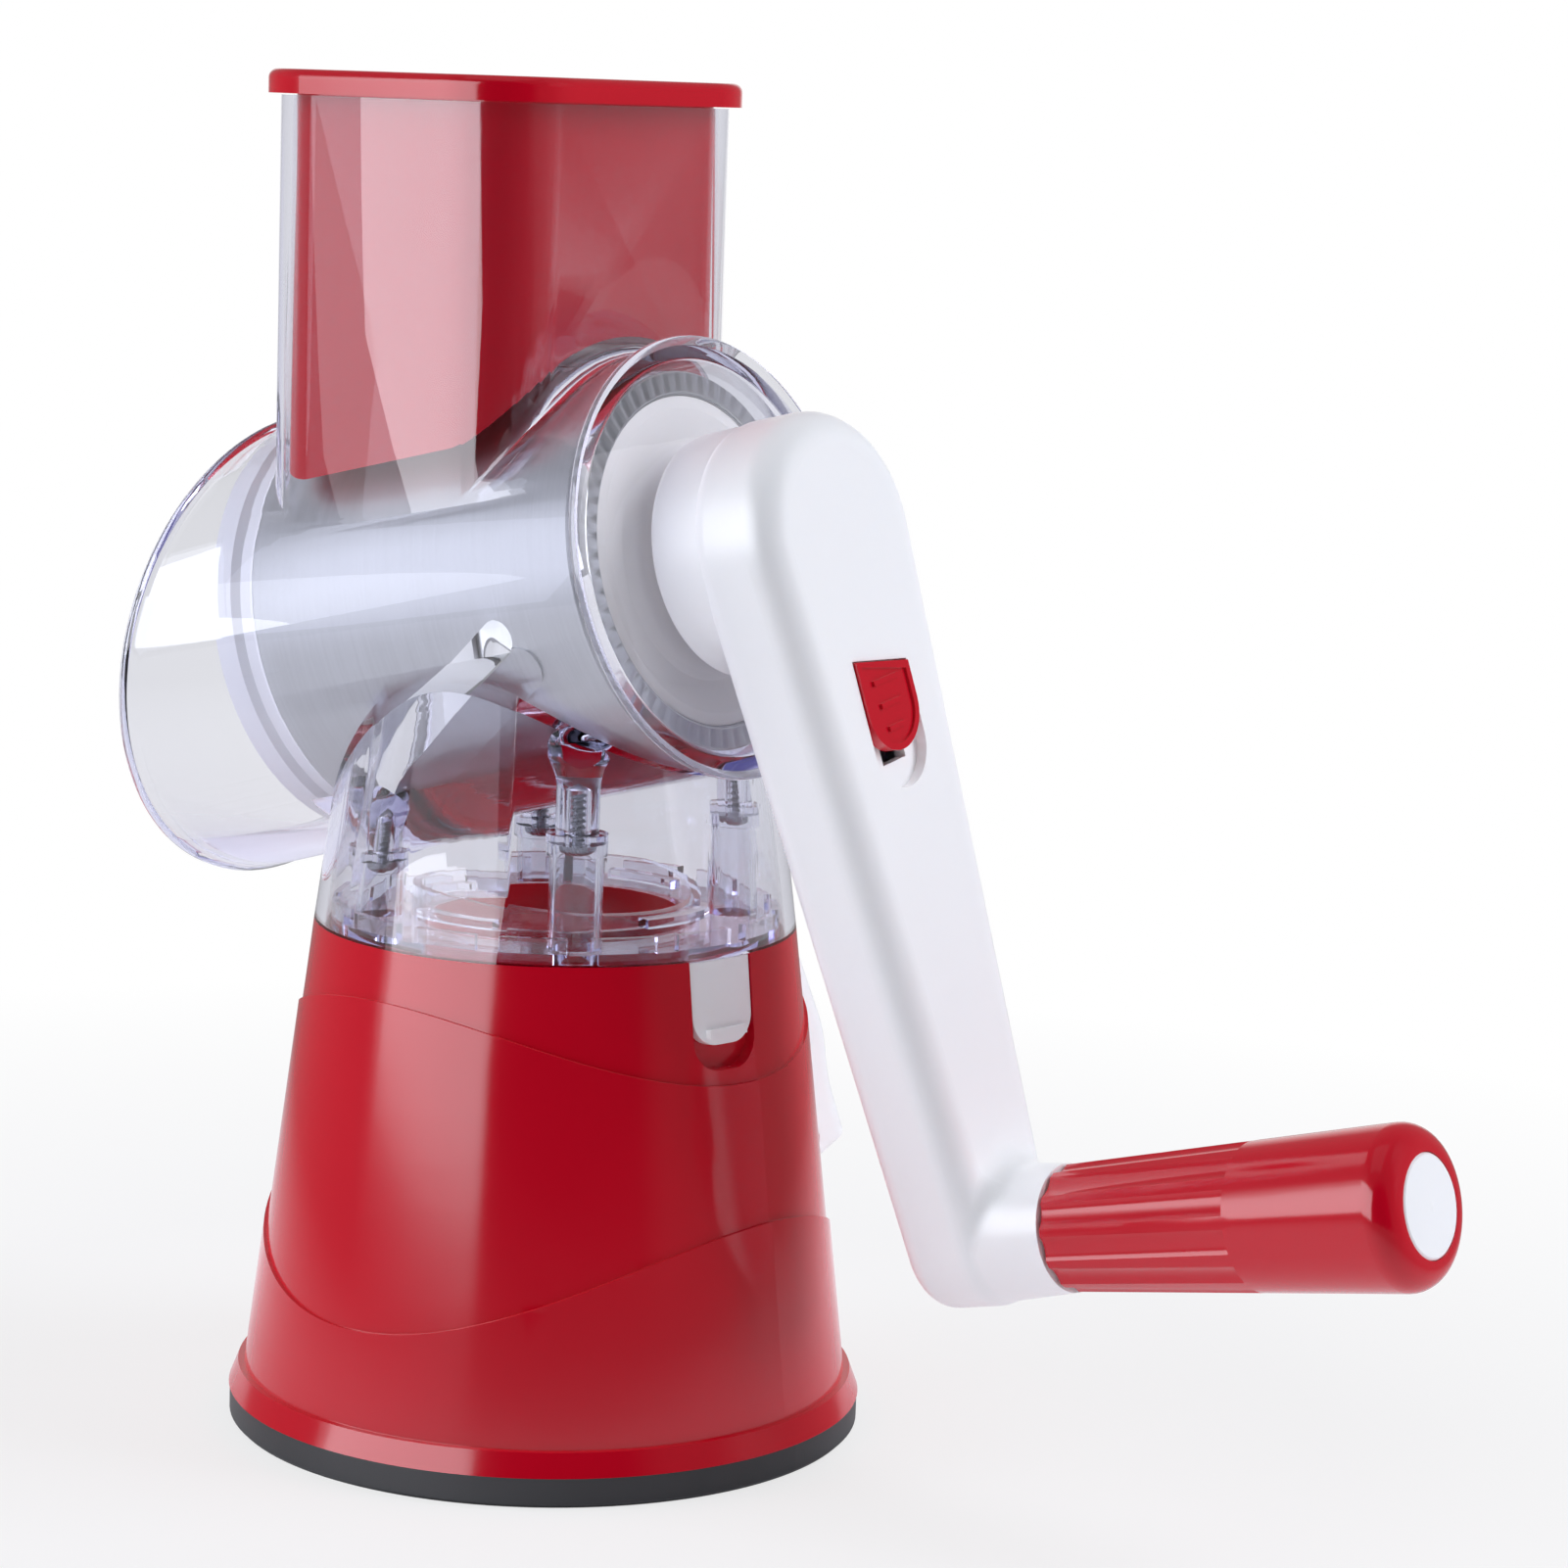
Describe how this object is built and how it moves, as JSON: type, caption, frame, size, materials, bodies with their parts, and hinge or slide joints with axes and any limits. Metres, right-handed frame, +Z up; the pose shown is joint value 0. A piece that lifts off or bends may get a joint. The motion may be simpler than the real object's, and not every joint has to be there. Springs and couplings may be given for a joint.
{
  "type": "vegetable shredder",
  "caption": "Hand-cranked rotary vegetable shredder with clear body, steel slicing drum and red suction base.",
  "frame": {"origin": "middle of the suction pad's underside, on the table", "axes": "+Z up, +X towards the crank end that the drum's axis rises to, +Y towards the suction lever"},
  "size_m": [0.2715, 0.1448, 0.269],
  "materials": {
    "red_abs": "glossy moulded ABS, bright red",
    "white_abs": "satin moulded ABS, white",
    "clear_as": "clear moulded styrene plastic, faint violet cast in its edges",
    "steel": "bright rolled stainless steel",
    "screw_steel": "bright plated steel screws",
    "pad_rubber": "matt moulded rubber, near black",
    "spring_steel": "plain spring steel",
    "inner_abs": "moulded acetal, off white"
  },
  "bodies": {
    "root": {"suction_pad_rim": "pad_rubber", "suction_membrane": "pad_rubber", "base_plate": "inner_abs", "base_screws": "screw_steel", "base_housing": "red_abs", "latch_spring": "spring_steel", "drum_barrel": "clear_as", "feed_hopper": "clear_as", "discharge_hood": "clear_as", "clear_skirt": "clear_as", "body_bosses": "clear_as", "bayonet_ring": "clear_as", "body_screws": "screw_steel"},
    "crank": {"drum_shell": "steel", "drum_end_disc": "white_abs", "drum_open_ring": "white_abs", "crank_back_shell": "white_abs", "crank_front_shell": "white_abs", "slider_spring": "spring_steel", "grip_spindle": "steel"},
    "grip": {"grip": "red_abs", "grip_end_cap": "white_abs"},
    "lock_slider": {"lock_slider": "red_abs"},
    "pusher": {"pusher_body": "red_abs", "pusher_cap": "red_abs"},
    "latch": {"release_latch": "white_abs"},
    "lever": {"suction_lever": "white_abs", "lever_shaft": "inner_abs"},
    "stem": {"suction_stem": "inner_abs"}
  },
  "joints": [
    {"name": "crank_turn", "type": "hinge", "parent": "root", "child": "crank", "pos_m": [0, 0, 0.1693], "axis": [0.972, 0, 0.2351], "continuous": true},
    {"name": "grip_spin", "type": "hinge", "parent": "crank", "child": "grip", "pos_m": [0.15032, 0.02134, 0.06383], "axis": [0.972, 0, 0.2351], "continuous": true},
    {"name": "slider_push", "type": "slide", "parent": "crank", "child": "lock_slider", "axis": [0.2324, 0.153, -0.9605], "range_m": [0, 0.007], "stiffness_N_per_m": 200, "springref_m": -0.003, "deforming": ["slider_spring"]},
    {"name": "pusher_lift", "type": "slide", "parent": "root", "child": "pusher", "axis": [0, 0, 1], "range_m": [0, 0.08]},
    {"name": "latch_press", "type": "slide", "parent": "root", "child": "latch", "axis": [0.1213, -0.0192, -0.9924], "range_m": [0, 0.005], "stiffness_N_per_m": 300, "springref_m": -0.003, "deforming": ["latch_spring"]},
    {"name": "lever_turn", "type": "hinge", "parent": "root", "child": "lever", "pos_m": [0, 0, 0.074], "axis": [0, 1, 0], "range_deg": [0, 90]},
    {"name": "stem_lift", "type": "slide", "parent": "root", "child": "stem", "axis": [0, 0, 1], "range_m": [-0.00354, 0], "deforming": ["suction_membrane"]}
  ],
  "couplings": [
    {"joint": "lever_turn", "follows": "stem_lift", "rad_per_m": -444.2}
  ]
}
